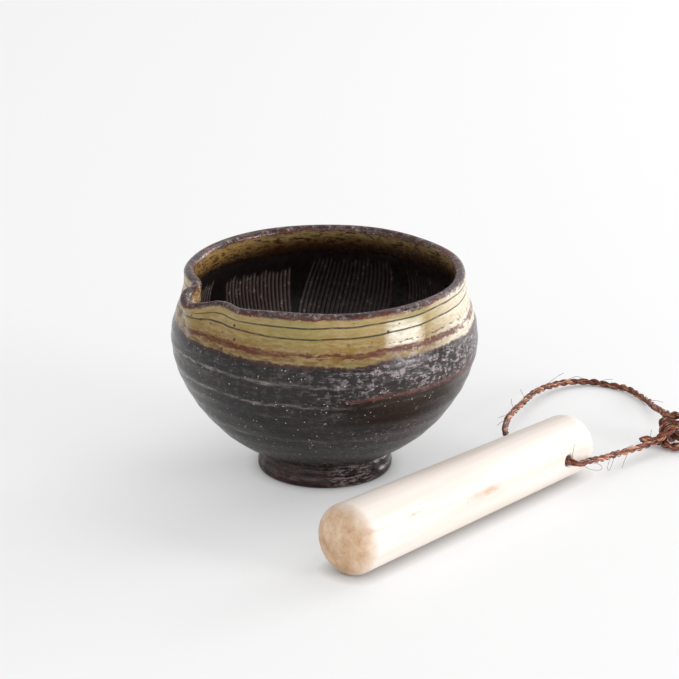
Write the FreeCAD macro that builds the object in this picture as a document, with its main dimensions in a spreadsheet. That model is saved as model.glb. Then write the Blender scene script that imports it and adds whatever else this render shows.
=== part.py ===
"""A stoneware grinding bowl with a pinched spout, and a wooden pestle with its palm-fibre hanging loop.

The bowl stands on its foot. The pestle lies beside it, and its loop lies on the same surface.
Millimetres, +X right, +Y back, +Z up. The origin is on that surface, in the middle of bowl and pestle.
"""
import FreeCAD, Part
import math
import os

import Sketcher
from FreeCAD import Placement, Rotation, Vector

UP = Vector(0, 0, 1)
SIDE = Vector(0, 1, 0)

# Driving sizes in millimetres and degrees. Each can be changed by itself.
SIZES = {
    # Bowl: one even wall from the foot to a rounded lip
    "bowl_wall": 4.4,
    "floor_height": 7.6,
    "belly_radius": 62.0,
    "belly_height": 56.8,
    "shoulder_radius": 31.6,
    "upper_radius": 30.2,
    "lip_rise": 28.2,
    "lip_inset": 5.2,
    "foot_radius": 27.5,
    "foot_height": 8.2,
    "foot_ring_width": 5.5,
    "foot_recess": 2.6,
    "foot_ease": 1.0,
    # Spout, pinched out of the lip: how far it goes beyond the lip, and how its bulge and channel start
    "spout_bearing": 208.5,
    "spout_beyond": 6.8,
    "spout_radius": 12.6,
    "spout_dip": 11.0,
    "spout_drop": 22.0,
    "spout_sweep": 160.0,
    "spout_root_radius": 5.0,
    "spout_root_inset": 2.0,
    "spout_root_chord": 3.0,
    "spout_lip_overlap": 2.6,
    "channel_start_radius": 2.0,
    "channel_start_inset": 7.9,
    # Ridges inside: the comb's strokes up the wall, in patches with a plain gap between them
    "comb_patches": 7,
    "comb_strokes": 9,
    "comb_patch_angle": 36.0,
    "comb_stroke_angle": 1.9,
    "comb_depth": 0.8,
    "comb_low": 14.0,
    "comb_rise": 11.0,
    # Pestle, turned from one piece of wood
    "pestle_length": 150.0,
    "head_radius": 14.3,
    "head_crown_radius": 20.0,
    "head_corner_radius": 6.0,
    "tail_radius": 12.4,
    "tail_corner_radius": 9.5,
    "cord_hole_diameter": 4.6,
    "cord_hole_inset": 22.0,
    "cord_hole_ease": 0.8,
    # Where the pestle lies: its bearing, how far its axis passes the bowl's, and how far on its hole is
    "pestle_bearing": 48.6,
    "pestle_offset": 80.1,
    "hole_ahead": 43.7,
    # Cord, two strands of twisted palm fibre, and its knot
    "cord_diameter": 3.0,
    "cord_seat_gap": 0.3,
    "knot_length": 21.0,
    "knot_diameter": 14.0,
    "knot_end_radius": 3.2,
    "knot_ahead": 65.9,
    "knot_aside": -16.8,
    "knot_bearing": -48.6,
    "cord_tail_length": 8.0,
    "cord_tail_sink": 3.1,
    # How far the cord runs straight out of the hole's two mouths
    "near_straight": 3.4,
    "far_straight": 5.0,
}

# Routes of the cord from the middle of the cross hole: ahead along the pestle, aside to its left,
# and the height above the surface. They go on from the straight stretch at each mouth to the knot.
NEAR_ROUTE = [
    (2.3, -18.0, 12.0),
    (9.5, -17.3, 11.0),
    (22.0, -15.5, 8.6),
    (34.5, -14.0, 6.2),
    (45.9, -14.3, 5.0),
    (55.8, -15.6, 5.8),
]
FAR_ROUTE = [
    (9.9, 29.5, 11.2),
    (29.2, 42.1, 9.2),
    (53.6, 52.7, 6.4),
    (78.1, 60.7, 3.6),
    (98.2, 56.3, 1.7),
    (103.9, 37.7, 1.6),
    (96.4, 19.7, 2.4),
    (82.7, 4.3, 6.2),
    (70.1, -8.8, 10.8),
]


def make_sheet(doc):
    """The driving sizes as a spreadsheet, one alias for each."""
    sheet = doc.addObject("Spreadsheet::Sheet", "sizes")
    for row, (name, value) in enumerate(SIZES.items(), start=1):
        sheet.set(f"A{row}", name)
        sheet.set(f"B{row}", str(value))
        sheet.setAlias(f"B{row}", name)
    doc.recompute()
    return sheet


def bind(target, path, formula):
    """Bind a property to a formula of the sheet's sizes. The formula's words stand apart by blanks."""
    words = [f"sizes.{word}" if word in SIZES else word for word in formula.split()]
    target.setExpression(path, " ".join(words))


def new_body(doc, label):
    body = doc.addObject("PartDesign::Body", label)
    body.Label = label
    return body


def new_sketch(body, name, plane):
    """An empty sketch on one of the body's own origin planes."""
    sketch = body.newObject("Sketcher::SketchObject", name)
    support = next(f for f in body.Origin.OriginFeatures if f.Role == plane)
    sketch.AttachmentSupport = [(support, "")]
    sketch.MapMode = "FlatFace"
    return sketch


def dimension(sketch, kind, where, formula, start):
    """A driving dimension of the sketch, bound to the sheet. It is solved from the value start."""
    index = sketch.addConstraint(Sketcher.Constraint(kind, *where, start))
    bind(sketch, f"Constraints[{index}]", formula)


def join(sketch, kind, *where):
    """A constraint without a size, such as Coincident or Tangent."""
    sketch.addConstraint(Sketcher.Constraint(kind, *where))


def arc(centre, start, end):
    """The arc about centre, counterclockwise from start to end."""
    angles = [math.atan2(p.y - centre.y, p.x - centre.x) for p in (start, end)]
    return Part.ArcOfCircle(Part.Circle(centre, UP, (start - centre).Length), *angles)


def along(centre, towards, reach):
    """The point at reach from centre, in the direction of towards."""
    return centre + (towards - centre).normalize() * reach


# Sketcher's numbers for an edge's start, end and centre, and for the origin and the two axes
START, END, CENTRE = range(1, 4)
ALONG_Y, ALONG_X = range(-2, 0)
ORIGIN = ALONG_X

# Formulas for places that several sketches share
LIP_RADIUS = "( belly_radius - lip_inset )"
LIP_LEVEL = "( belly_height + lip_rise - bowl_wall / 2 )"
SPOUT_MIDDLE = f"( {LIP_RADIUS} + spout_beyond - spout_radius )"
SPOUT_ROOT_LEVEL = f"( {LIP_LEVEL} - spout_drop )"


def base_centre(belly_height, shoulder_run, lowest):
    """The height of the centre of the round base that meets the shoulder arc and passes through lowest."""
    return (shoulder_run**2 + belly_height**2 - lowest**2) / (2 * (belly_height - lowest))


def wall_sketch(body):
    """The bowl's wall as a half section. Inner arcs share the outer arcs' centres, so the wall is even."""
    s = SIZES
    half_wall = s["bowl_wall"] / 2
    lip_radius = s["belly_radius"] - s["lip_inset"]
    shoulder = Vector(s["belly_radius"] - s["shoulder_radius"], s["belly_height"])
    upper = Vector(s["belly_radius"] - s["upper_radius"], s["belly_height"])
    lowest = s["floor_height"] - s["bowl_wall"] + s["shoulder_radius"]
    base = Vector(0, base_centre(shoulder.y, shoulder.x, lowest))
    lip = Vector(lip_radius - half_wall, s["belly_height"] + s["lip_rise"] - half_wall)
    run = lip_radius - upper.x
    rise = lip.y - upper.y
    neck_radius = (s["upper_radius"] ** 2 - run**2 - rise**2) / (2 * (run - s["upper_radius"]))
    neck = Vector(lip_radius + neck_radius, lip.y)
    base_radius = s["shoulder_radius"] + (shoulder - base).Length
    foot_drop = base.y - s["foot_height"]
    foot_top = Vector(math.sqrt(base_radius**2 - foot_drop**2), s["foot_height"])
    ring_inner = s["foot_radius"] - s["foot_ring_width"]

    def outline(inset):
        """The points where the arcs meet, on the outer face or inset from it."""
        under_shoulder = shoulder + (shoulder - base).normalize() * (s["shoulder_radius"] - inset)
        belly = Vector(s["belly_radius"] - inset, s["belly_height"])
        above = along(upper, neck, s["upper_radius"] - inset)
        edge = Vector(lip_radius - inset, lip.y)
        return under_shoulder, belly, above, edge

    out_low, out_belly, out_neck, out_lip = outline(0)
    in_low, in_belly, in_neck, in_lip = outline(s["bowl_wall"])
    floor = Vector(0, s["floor_height"])
    under = Vector(0, s["foot_recess"])

    sketch = new_sketch(body, "wall_section", "XZ_Plane")
    outer = sketch.addGeometry(
        [
            arc(base, foot_top, out_low),
            arc(shoulder, out_low, out_belly),
            arc(upper, out_belly, out_neck),
            arc(neck, out_lip, out_neck),
            arc(lip, out_lip, in_lip),
            arc(neck, in_lip, in_neck),
            arc(upper, in_belly, in_neck),
            arc(shoulder, in_low, in_belly),
            arc(base, floor, in_low),
            Part.LineSegment(foot_top, Vector(s["foot_radius"], 0)),
            Part.LineSegment(Vector(s["foot_radius"], 0), Vector(ring_inner, 0)),
            Part.LineSegment(Vector(ring_inner, 0), Vector(ring_inner, under.y)),
            Part.LineSegment(Vector(ring_inner, under.y), under),
            Part.LineSegment(under, floor),
        ],
        False,
    )
    base_out, shoulder_out, upper_out, neck_out, lip_arc, neck_in, upper_in, shoulder_in, base_in = outer[:9]
    foot_side, foot_bottom, foot_inside, foot_ceiling, axis = outer[9:]

    for first, first_end, second, second_end in [
        (base_out, END, shoulder_out, START),
        (shoulder_out, END, upper_out, START),
        (upper_out, END, neck_out, END),
        (neck_out, START, lip_arc, START),
        (lip_arc, END, neck_in, START),
        (neck_in, END, upper_in, END),
        (upper_in, START, shoulder_in, END),
        (shoulder_in, START, base_in, END),
    ]:
        join(sketch, "Tangent", first, first_end, second, second_end)
    for inner, outer_one in [
        (neck_in, neck_out),
        (upper_in, upper_out),
        (shoulder_in, shoulder_out),
        (base_in, base_out),
    ]:
        join(sketch, "Coincident", inner, CENTRE, outer_one, CENTRE)
    for first, first_end, second, second_end in [
        (base_out, START, foot_side, START),
        (foot_side, END, foot_bottom, START),
        (foot_bottom, END, foot_inside, START),
        (foot_inside, END, foot_ceiling, START),
        (foot_ceiling, END, axis, START),
        (axis, END, base_in, START),
    ]:
        join(sketch, "Coincident", first, first_end, second, second_end)
    join(sketch, "PointOnObject", base_out, CENTRE, ALONG_Y)
    join(sketch, "PointOnObject", axis, START, ALONG_Y)
    join(sketch, "PointOnObject", axis, END, ALONG_Y)
    join(sketch, "PointOnObject", foot_bottom, START, ALONG_X)
    join(sketch, "Horizontal", foot_bottom)
    join(sketch, "Vertical", foot_inside)
    join(sketch, "Horizontal", foot_ceiling)

    origin = (ORIGIN, START)
    dimension(sketch, "DistanceY", (*origin, axis, END), "floor_height", floor.y)
    dimension(sketch, "DistanceY", (*origin, shoulder_out, CENTRE), "belly_height", shoulder.y)
    dimension(sketch, "DistanceY", (*origin, upper_out, CENTRE), "belly_height", upper.y)
    dimension(sketch, "DistanceY", (*origin, neck_out, CENTRE), LIP_LEVEL, lip.y)
    dimension(sketch, "DistanceY", (*origin, lip_arc, CENTRE), LIP_LEVEL, lip.y)
    dimension(sketch, "DistanceX", (*origin, upper_out, START), "belly_radius", out_belly.x)
    dimension(sketch, "DistanceX", (*origin, lip_arc, START), LIP_RADIUS, out_lip.x)
    dimension(sketch, "Radius", (shoulder_out,), "shoulder_radius", s["shoulder_radius"])
    dimension(sketch, "Radius", (upper_out,), "upper_radius", s["upper_radius"])
    dimension(sketch, "Radius", (lip_arc,), "bowl_wall / 2", half_wall)
    dimension(sketch, "DistanceY", (*origin, foot_side, START), "foot_height", foot_top.y)
    dimension(sketch, "DistanceX", (*origin, foot_bottom, START), "foot_radius", s["foot_radius"])
    dimension(sketch, "DistanceX", (*origin, foot_inside, START), "foot_radius - foot_ring_width", ring_inner)
    dimension(sketch, "DistanceY", (*origin, axis, START), "foot_recess", under.y)
    return sketch


def revolve(body, sketch, axis="V_Axis", angle=None):
    """Turn the sketch about one of its own axes, all the way round or by a size of the sheet."""
    turned = body.newObject("PartDesign::Revolution", f"{sketch.Name}_turned")
    turned.Profile = sketch
    turned.ReferenceAxis = (sketch, [axis])
    turned.Angle = 360
    if angle:
        turned.Midplane = True
        bind(turned, "Angle", angle)
    return turned


def tilted_sketch(body, name, out, up, dip=None):
    """A level sketch at out and up from the bowl's foot, or one that dips outwards by a size of the sheet."""
    sketch = new_sketch(body, name, "XY_Plane")
    sketch.AttachmentOffset = Placement(Vector(), Rotation(SIDE, SIZES[dip] if dip else 0))
    bind(sketch, ".AttachmentOffset.Base.x", out)
    bind(sketch, ".AttachmentOffset.Base.z", up)
    if dip:
        bind(sketch, ".AttachmentOffset.Rotation.Angle", dip)
    return sketch


def circle_in(sketch, radius, start):
    """A circle about the sketch's origin."""
    circle = sketch.addGeometry(Part.Circle(Vector(), UP, start), False)
    join(sketch, "Coincident", circle, CENTRE, ORIGIN, START)
    dimension(sketch, "Radius", (circle,), radius, start)


def bulge_in(sketch, radius, chord, radius_start, chord_start):
    """The outward part of a circle about the sketch's origin, closed by a chord."""
    half = math.sqrt(radius_start**2 - chord_start**2)
    low = Vector(chord_start, -half)
    high = Vector(chord_start, half)
    bow = sketch.addGeometry(arc(Vector(), low, high), False)
    line = sketch.addGeometry(Part.LineSegment(high, low), False)
    join(sketch, "Coincident", bow, CENTRE, ORIGIN, START)
    join(sketch, "Coincident", bow, END, line, START)
    join(sketch, "Coincident", line, END, bow, START)
    join(sketch, "Vertical", line)
    dimension(sketch, "Radius", (bow,), radius, radius_start)
    dimension(sketch, "DistanceX", (ORIGIN, START, line, START), chord, chord_start)


def loft(body, kind, name, sections):
    """A ruled loft through the sketches, added or cut away."""
    made = body.newObject(kind, name)
    made.Profile = sections[0]
    made.Sections = sections[1:]
    made.Ruled = True
    return made


def add_spout(body):
    """Pinch the lip out into a spout, pointing along the bowl's X: a bulge, its rounded edge, its channel."""
    s = SIZES
    half_wall = s["bowl_wall"] / 2
    root = tilted_sketch(body, "spout_root", "belly_radius - spout_root_inset - spout_root_radius", SPOUT_ROOT_LEVEL)
    bulge_in(root, "spout_root_radius", "spout_root_chord", s["spout_root_radius"], s["spout_root_chord"])
    edge = tilted_sketch(body, "spout_edge", SPOUT_MIDDLE, LIP_LEVEL, "spout_dip")
    chord = s["spout_radius"] - s["spout_beyond"] - s["spout_lip_overlap"]
    bulge_in(edge, "spout_radius", "spout_radius - spout_beyond - spout_lip_overlap", s["spout_radius"], chord)
    loft(body, "PartDesign::AdditiveLoft", "spout_bulge", [root, edge])

    bead = new_sketch(body, "spout_bead", "XZ_Plane")
    bead.AttachmentOffset = Placement(Vector(), Rotation(UP, -s["spout_dip"]))
    bind(bead, ".AttachmentOffset.Base.x", SPOUT_MIDDLE)
    bind(bead, ".AttachmentOffset.Base.y", LIP_LEVEL)
    bind(bead, ".AttachmentOffset.Rotation.Angle", "- spout_dip")
    bead_out = s["spout_radius"] - half_wall
    ring = bead.addGeometry(Part.Circle(Vector(bead_out, 0), UP, half_wall), False)
    join(bead, "PointOnObject", ring, CENTRE, ALONG_X)
    dimension(bead, "DistanceX", (ORIGIN, START, ring, CENTRE), "spout_radius - bowl_wall / 2", bead_out)
    dimension(bead, "Radius", (ring,), "bowl_wall / 2", half_wall)
    revolve(body, bead, angle="spout_sweep")

    start_level = f"{SPOUT_ROOT_LEVEL} + bowl_wall"
    start = tilted_sketch(body, "channel_start", "belly_radius - channel_start_inset", start_level)
    circle_in(start, "channel_start_radius", s["channel_start_radius"])
    channel_radius = s["spout_radius"] - s["bowl_wall"]
    channel = tilted_sketch(body, "channel_edge", SPOUT_MIDDLE, LIP_LEVEL, "spout_dip")
    circle_in(channel, "spout_radius - bowl_wall", channel_radius)
    over = tilted_sketch(body, "channel_over", SPOUT_MIDDLE, f"{LIP_LEVEL} + bowl_wall * 2", "spout_dip")
    circle_in(over, "spout_radius - bowl_wall", channel_radius)
    loft(body, "PartDesign::SubtractiveLoft", "spout_channel", [start, channel, over])


def fillet(body, name, radius, chosen):
    """Round the edges of the body's last feature that chosen picks out."""
    before = body.Tip
    edges = [f"Edge{i}" for i, edge in enumerate(before.Shape.Edges, start=1) if chosen(edge)]
    rounded = body.newObject("PartDesign::Fillet", name)
    rounded.Base = (before, edges)
    bind(rounded, "Radius", radius)
    return rounded


def comb_sketch(body):
    """One stroke of the comb as a section through the bowl's axis: arcs under the inner wall, and a chord."""
    s = SIZES
    inset = s["bowl_wall"] - s["comb_depth"]
    shoulder = Vector(s["belly_radius"] - s["shoulder_radius"], s["belly_height"])
    upper = Vector(s["belly_radius"] - s["upper_radius"], s["belly_height"])
    lowest = s["floor_height"] - s["bowl_wall"] + s["shoulder_radius"]
    base = Vector(0, base_centre(shoulder.y, shoulder.x, lowest))
    shoulder_cut = s["shoulder_radius"] - inset
    upper_cut = s["upper_radius"] - inset
    base_cut = shoulder_cut + (shoulder - base).Length
    low = Vector(math.sqrt(base_cut**2 - (base.y - s["comb_low"]) ** 2), s["comb_low"])
    bend = along(shoulder, shoulder * 2 - base, shoulder_cut)
    belly = Vector(s["belly_radius"] - inset, s["belly_height"])
    top = Vector(upper.x + math.sqrt(upper_cut**2 - s["comb_rise"] ** 2), upper.y + s["comb_rise"])
    under = Vector(0, s["floor_height"] - s["comb_depth"])

    sketch = new_sketch(body, "comb_stroke", "XZ_Plane")
    first_bearing = (360 / s["comb_patches"] - s["comb_patch_angle"]) / 2
    sketch.AttachmentOffset = Placement(Vector(), Rotation(SIDE, first_bearing))
    bind(sketch, ".AttachmentOffset.Rotation.Angle", "( 360 / comb_patches - comb_patch_angle ) / 2")
    base_arc, shoulder_arc, upper_arc, chord = sketch.addGeometry(
        [
            arc(base, low, bend),
            arc(shoulder, bend, belly),
            arc(upper, belly, top),
            Part.LineSegment(top, low),
        ],
        False,
    )
    floor = sketch.addGeometry(Part.Point(under), True)
    join(sketch, "Tangent", base_arc, END, shoulder_arc, START)
    join(sketch, "Tangent", shoulder_arc, END, upper_arc, START)
    join(sketch, "Coincident", upper_arc, END, chord, START)
    join(sketch, "Coincident", chord, END, base_arc, START)
    join(sketch, "PointOnObject", base_arc, CENTRE, ALONG_Y)
    join(sketch, "PointOnObject", floor, START, ALONG_Y)
    join(sketch, "PointOnObject", floor, START, base_arc)
    origin = (ORIGIN, START)
    belly_formula = "belly_radius - bowl_wall + comb_depth"
    dimension(sketch, "DistanceY", (*origin, floor, START), "floor_height - comb_depth", under.y)
    dimension(sketch, "DistanceY", (*origin, shoulder_arc, CENTRE), "belly_height", shoulder.y)
    dimension(sketch, "DistanceY", (*origin, upper_arc, CENTRE), "belly_height", upper.y)
    dimension(sketch, "Radius", (shoulder_arc,), "shoulder_radius - bowl_wall + comb_depth", shoulder_cut)
    dimension(sketch, "Radius", (upper_arc,), "upper_radius - bowl_wall + comb_depth", upper_cut)
    dimension(sketch, "DistanceX", (*origin, upper_arc, START), belly_formula, belly.x)
    dimension(sketch, "DistanceY", (*origin, base_arc, START), "comb_low", low.y)
    dimension(sketch, "DistanceY", (*origin, upper_arc, END), "belly_height + comb_rise", top.y)
    return sketch


def polar_pattern(body, name, angle, count):
    """Copies of the last feature's cut round the bowl's axis, as one step of a multi-pattern."""
    pattern = body.newObject("PartDesign::PolarPattern", name)
    upright = next(f for f in body.Origin.OriginFeatures if f.Role == "Z_Axis")
    pattern.Axis = (upright, [""])
    if angle:
        bind(pattern, "Angle", angle)
    else:
        pattern.Angle = 360
    bind(pattern, "Occurrences", count)
    return pattern


def score_comb_ridges(body):
    """Score the inner wall: one stroke, repeated into a patch, and the patch repeated all round."""
    sketch = comb_sketch(body)
    stroke = body.newObject("PartDesign::Groove", "comb_stroke_cut")
    stroke.Profile = sketch
    stroke.ReferenceAxis = (sketch, ["V_Axis"])
    stroke.Midplane = True
    bind(stroke, "Angle", "comb_stroke_angle")
    body.Document.recompute()
    ridges = body.newObject("PartDesign::MultiTransform", "comb_ridges")
    ridges.Originals = [stroke]
    patch = polar_pattern(body, "comb_patch", "comb_patch_angle", "comb_strokes")
    ring = polar_pattern(body, "comb_ring", None, "comb_patches")
    ridges.Transformations = [patch, ring]
    body.Tip = ridges


def make_bowl(doc):
    body = new_body(doc, "mortar_bowl")
    revolve(body, wall_sketch(body))
    add_spout(body)
    doc.recompute()
    fillet(body, "foot_eased", "foot_ease", lambda edge: abs(edge.BoundBox.ZMax) < 1e-6)
    doc.recompute()
    score_comb_ridges(body)
    return body


def make_pestle(doc):
    """The pestle along its own X axis, from the tip of its grinding head to its tail."""
    s = SIZES
    crown = Vector(s["head_crown_radius"], 0)
    corner, tail, slope = pestle_corners()
    normal = Vector(-math.sin(slope), math.cos(slope))
    head_top = corner + normal * s["head_corner_radius"]
    tail_top = tail + normal * s["tail_corner_radius"]
    crown_end = along(crown, corner, s["head_crown_radius"])
    tail_end = Vector(s["pestle_length"], tail.y)

    body = new_body(doc, "pestle")
    sketch = new_sketch(body, "outline", "XY_Plane")
    crown_arc, corner_arc, taper, tail_arc, tail_face, axis = sketch.addGeometry(
        [
            arc(crown, crown_end, Vector()),
            arc(corner, head_top, crown_end),
            Part.LineSegment(head_top, tail_top),
            arc(tail, tail_end, tail_top),
            Part.LineSegment(tail_end, Vector(s["pestle_length"], 0)),
            Part.LineSegment(Vector(s["pestle_length"], 0), Vector()),
        ],
        False,
    )
    join(sketch, "Tangent", crown_arc, START, corner_arc, END)
    join(sketch, "Tangent", corner_arc, START, taper, START)
    join(sketch, "Tangent", taper, END, tail_arc, END)
    join(sketch, "Tangent", tail_arc, START, tail_face, START)
    join(sketch, "Coincident", crown_arc, END, axis, END)
    join(sketch, "Coincident", tail_face, END, axis, START)
    join(sketch, "Coincident", axis, END, ORIGIN, START)
    join(sketch, "PointOnObject", crown_arc, CENTRE, ALONG_X)
    join(sketch, "PointOnObject", axis, START, ALONG_X)
    join(sketch, "Vertical", tail_face)
    origin = (ORIGIN, START)
    dimension(sketch, "Radius", (crown_arc,), "head_crown_radius", s["head_crown_radius"])
    dimension(sketch, "Radius", (corner_arc,), "head_corner_radius", s["head_corner_radius"])
    dimension(sketch, "Radius", (tail_arc,), "tail_corner_radius", s["tail_corner_radius"])
    dimension(sketch, "DistanceY", (*origin, corner_arc, CENTRE), "head_radius - head_corner_radius", corner.y)
    dimension(sketch, "DistanceY", (*origin, tail_arc, CENTRE), "tail_radius - tail_corner_radius", tail.y)
    dimension(sketch, "DistanceX", (*origin, axis, START), "pestle_length", s["pestle_length"])
    revolve(body, sketch, axis="H_Axis")

    hole = new_sketch(body, "cord_hole", "XZ_Plane")
    bind(hole, ".AttachmentOffset.Base.x", "pestle_length - cord_hole_inset")
    circle_in(hole, "cord_hole_diameter / 2", s["cord_hole_diameter"] / 2)
    doc.recompute()
    drilled = body.newObject("PartDesign::Pocket", "cord_hole_drilled")
    drilled.Profile = hole
    drilled.Type = "ThroughAll"
    drilled.Midplane = True
    doc.recompute()
    mouth = s["cord_hole_diameter"] / 2
    fillet(body, "cord_hole_eased", "cord_hole_ease", lambda edge: is_mouth(edge, mouth))
    return body


def is_mouth(edge, radius):
    """True for an edge round a mouth of the cord's hole."""
    near = radius / 100
    return abs(edge.BoundBox.ZMax - radius) < near and abs(edge.BoundBox.ZMin + radius) < near


def pestle_corners():
    """The centres of the outline's two corner arcs, and the slope of the line that touches both outside."""
    s = SIZES
    corner_up = s["head_radius"] - s["head_corner_radius"]
    reach = s["head_crown_radius"] - s["head_corner_radius"]
    corner = Vector(s["head_crown_radius"] - math.sqrt(reach**2 - corner_up**2), corner_up)
    tail = Vector(s["pestle_length"] - s["tail_corner_radius"], s["tail_radius"] - s["tail_corner_radius"])
    between = tail - corner
    lean = math.asin((s["head_corner_radius"] - s["tail_corner_radius"]) / between.Length)
    return corner, tail, math.atan2(between.y, between.x) - lean


def pestle_placement():
    """The pestle lies on its taper: its head higher than its tail, at its bearing beside the bowl."""
    s = SIZES
    corner, _, slope = pestle_corners()
    tip_height = s["head_corner_radius"] + corner.y * math.cos(slope) - corner.x * math.sin(slope)
    turn = Rotation(UP, s["pestle_bearing"]) * Rotation(SIDE, -math.degrees(slope))
    hole = turn.multVec(Vector(s["pestle_length"] - s["cord_hole_inset"], 0, 0))
    spot = hole_middle()
    return Placement(Vector(spot.x - hole.x, spot.y - hole.y, tip_height), turn)


def hole_middle():
    """The place on the surface under the middle of the cord's hole, from the bowl's axis."""
    across = Rotation(UP, SIZES["pestle_bearing"])
    return across.multVec(Vector(SIZES["hole_ahead"], -SIZES["pestle_offset"], 0))


def hole_height():
    """The height of the pestle's axis at its hole. The pestle lies on its side there, so it is its radius too."""
    return pestle_placement().multVec(Vector(SIZES["pestle_length"] - SIZES["cord_hole_inset"], 0, 0)).z


def cord_height():
    """The height of the cord's line in the hole, where it hangs just clear of the hole's floor."""
    s = SIZES
    return hole_height() - s["cord_hole_diameter"] / 2 + s["cord_seat_gap"] + s["cord_diameter"] / 2


# The share of a run that the arc at each of its ends takes up
ARC_SHARE = 0.45


def rounded_path(points):
    """Straight runs joined by tangent arcs that take up ARC_SHARE of the shorter run, and the least radius."""
    edges = []
    least = math.inf
    start = points[0]
    for before, corner, after in zip(points, points[1:], points[2:]):
        back = before - corner
        ahead = after - corner
        cut = ARC_SHARE * min(back.Length, ahead.Length)
        back.normalize()
        ahead.normalize()
        half_turn = (math.pi - back.getAngle(ahead)) / 2
        radius = cut / math.tan(half_turn)
        least = min(least, radius)
        middle = corner + (back + ahead).normalize() * (radius / math.cos(half_turn) - radius)
        first = corner + back * cut
        last = corner + ahead * cut
        edges += [Part.LineSegment(start, first).toShape(), Part.Arc(first, middle, last).toShape()]
        start = last
    edges.append(Part.LineSegment(start, points[-1]).toShape())
    return Part.Wire(edges), least


def tube(name, points, radius):
    """A round tube along the points. It prints its length, its tightest bend and how true its volume is."""
    path, least = rounded_path(points)
    ring = Part.Wire(Part.makeCircle(radius, points[0], points[1] - points[0]))
    solid = path.makePipeShell([ring], True, True)
    share = solid.Volume / (math.pi * radius**2 * path.Length)
    print(f"{name}: {path.Length:.1f} mm long, tightest bend {least:.1f} mm, volume {share:.4f} of its section")
    return solid


def add_shape(doc, label, shape):
    """A sub-part whose shape is given, in the cord's own frame."""
    feature = doc.addObject("Part::Feature", label)
    feature.Label = label
    feature.Shape = shape
    return feature


def knot_shape(near_entry, far_entry):
    """The knot as a barrel on its side, with a stump towards each run of cord and the cord's two tails."""
    s = SIZES
    half = s["knot_length"] / 2
    middle = s["knot_diameter"] / 2
    end = s["knot_end_radius"]
    bow = Part.Arc(Vector(-half, end), Vector(0, middle), Vector(half, end)).toShape()
    sides = [
        bow,
        Part.LineSegment(Vector(half, end), Vector(half, 0)).toShape(),
        Part.LineSegment(Vector(half, 0), Vector(-half, 0)).toShape(),
        Part.LineSegment(Vector(-half, 0), Vector(-half, end)).toShape(),
    ]
    barrel = Part.Face(Part.Wire(sides)).revolve(Vector(), Vector(1, 0, 0), 360)
    centre = Vector(s["knot_ahead"], s["knot_aside"], middle)
    barrel.Placement = Placement(centre, Rotation(UP, s["knot_bearing"]))
    radius = s["cord_diameter"] / 2
    stumps = []
    for before, entry in (near_entry, far_entry):
        direction = entry - before
        stumps.append(Part.makeCylinder(radius, middle, entry, direction))
    tail = half + s["cord_tail_length"]
    lengthwise = Rotation(UP, s["knot_bearing"]).multVec(Vector(tail, 0, 0))
    root = centre - UP * s["cord_tail_sink"]
    for sign in (-1, 1):
        stumps.append(Part.makeCylinder(radius, tail, root, lengthwise * sign))
    return barrel.fuse(stumps).removeSplitter()


def make_cord(doc):
    """The cord's stretch in the hole, its near and far runs, and its knot."""
    radius = SIZES["cord_diameter"] / 2
    height = cord_height()
    mouth = hole_height()
    near_mouth = Vector(0, -mouth, height)
    far_mouth = Vector(0, mouth, height)
    near = [near_mouth, near_mouth - SIDE * SIZES["near_straight"]]
    near += [Vector(*point) for point in NEAR_ROUTE]
    far = [far_mouth, far_mouth + SIDE * SIZES["far_straight"]]
    far += [Vector(*point) for point in FAR_ROUTE]
    parts = [
        add_shape(doc, "cord_in_hole", Part.makeCylinder(radius, 2 * mouth, near_mouth, SIDE)),
        add_shape(doc, "cord_near_run", tube("near run", near, radius)),
        add_shape(doc, "cord_far_run", tube("far run", far, radius)),
        add_shape(doc, "cord_knot", knot_shape(near[-2:], far[-2:])),
    ]
    for part in parts:
        part.Placement = Placement(hole_middle(), Rotation(UP, SIZES["pestle_bearing"]))
    return parts


def stand_in_the_middle(parts, measured):
    """Move all parts alike, so that the origin is under the middle of the measured ones."""
    boxes = [part.Shape.optimalBoundingBox(False, False) for part in measured]
    middle = Vector(
        (min(box.XMin for box in boxes) + max(box.XMax for box in boxes)) / 2,
        (min(box.YMin for box in boxes) + max(box.YMax for box in boxes)) / 2,
    )
    for part in parts:
        part.Placement = Placement(-middle, Rotation()) * part.Placement
    print(f"bowl's axis at {-middle.x:.2f}, {-middle.y:.2f}")


def main():
    doc = FreeCAD.newDocument("grinding_bowl")
    make_sheet(doc)
    bowl = make_bowl(doc)
    pestle = make_pestle(doc)
    bowl.Placement = Placement(Vector(), Rotation(UP, SIZES["spout_bearing"]))
    pestle.Placement = pestle_placement()
    parts = [bowl, pestle] + make_cord(doc)
    doc.recompute()
    stand_in_the_middle(parts, [bowl, pestle])
    doc.recompute()
    for item in doc.Objects:
        if "Invalid" in item.State or "Error" in item.State:
            raise RuntimeError(f"{item.Label} failed: {item.State}")
    for part in parts:
        if part.Shape.isNull() or not part.Shape.isValid():
            raise RuntimeError(f"{part.Label} has no valid shape")
    os.makedirs("parts", exist_ok=True)
    for part in parts:
        part.Shape.exportStep(f"parts/{part.Label}.step")
        print(f"{part.Label}: {len(part.Shape.Solids)} solid, {part.Shape.Volume:.0f} cubic mm")


main()
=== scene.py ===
"""The looks of a stoneware grinding bowl and its wooden pestle with a twisted palm-fibre loop."""
import math

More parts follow.
